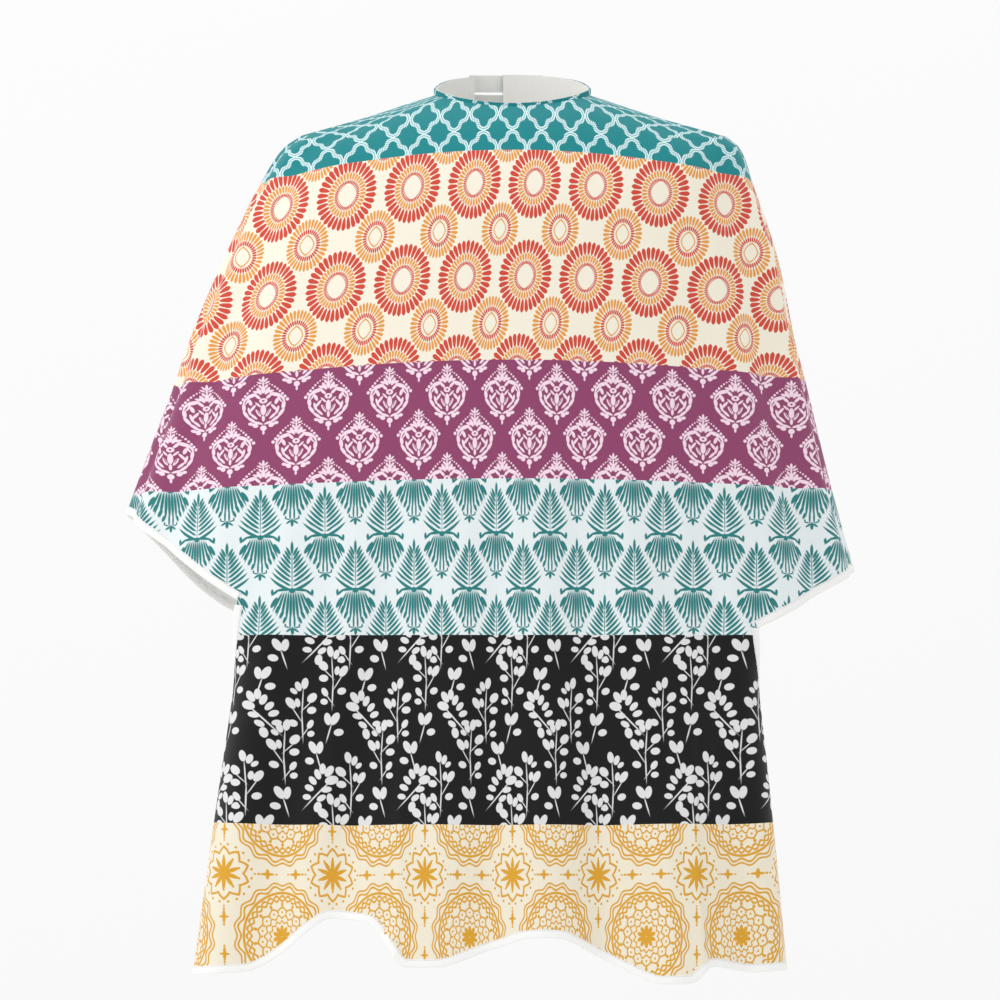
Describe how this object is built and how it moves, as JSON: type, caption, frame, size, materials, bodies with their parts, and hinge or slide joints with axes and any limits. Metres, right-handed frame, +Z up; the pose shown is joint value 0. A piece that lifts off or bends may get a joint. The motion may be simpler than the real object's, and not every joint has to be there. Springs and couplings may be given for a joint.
{
  "type": "barber cape",
  "caption": "Printed barber cape draped as worn, open front hem and elbow hems, short slit back, and a narrow neckband closed at the nape by a tab with snaps.",
  "frame": {"origin": "middle of the neck opening, level with the neckline at the sides of the neck", "axes": "+Z up through the neck opening, the long front faces -Y, the closure is at +Y, +X is the wearer's left"},
  "size_m": [0.6484, 0.3293, 0.7999],
  "materials": {
    "printed_cloth": "thin woven polyester, printed in six horizontal bands, slight sheen",
    "hem_tape": "white turned and stitched hem",
    "band_lining": "plain off-white woven lining",
    "stiffener": "matte non-woven interlining",
    "snap_metal": "nickel-plated pressed snap"
  },
  "bodies": {
    "cape": {"front_panel": "printed_cloth", "left_shoulder_panel": "printed_cloth", "right_shoulder_panel": "printed_cloth", "left_back_panel": "printed_cloth", "right_back_panel": "printed_cloth", "front_hem": "hem_tape", "left_sleeve_hem": "hem_tape", "right_sleeve_hem": "hem_tape", "left_front_edge": "hem_tape", "right_front_edge": "hem_tape", "left_back_hem": "hem_tape", "right_back_hem": "hem_tape", "neckband_outer": "printed_cloth", "neckband_stiffener": "stiffener", "neckband_lining": "band_lining", "tab_fold": "printed_cloth", "snap_stud_1": "snap_metal", "snap_stud_2": "snap_metal", "snap_stud_3": "snap_metal", "snap_stud_4": "snap_metal"},
    "left_back_corner": {"left_back_flap": "printed_cloth", "left_flap_hem": "hem_tape"},
    "right_back_corner": {"right_back_flap": "printed_cloth", "right_flap_hem": "hem_tape"},
    "neck_tab": {"closing_tab": "printed_cloth", "closing_tab_lining": "band_lining", "snap_socket_1": "snap_metal", "snap_socket_2": "snap_metal", "snap_cap_1": "snap_metal", "snap_cap_2": "snap_metal"}
  },
  "joints": [
    {"name": "neck_tab_open", "type": "hinge", "parent": "cape", "child": "neck_tab", "pos_m": [-0.03735, 0.05156, 0.018], "axis": [0, 0, 1], "range_deg": [0, 120]},
    {"name": "left_corner_fold", "type": "hinge", "parent": "cape", "child": "left_back_corner", "pos_m": [-0.08277, 0.1316, -0.26996], "axis": [0.3796, -0.06, 0.9232], "range_deg": [0, 150]},
    {"name": "right_corner_fold", "type": "hinge", "parent": "cape", "child": "right_back_corner", "pos_m": [0.08277, 0.1316, -0.26996], "axis": [0.3796, 0.06, -0.9232], "range_deg": [0, 150]}
  ]
}
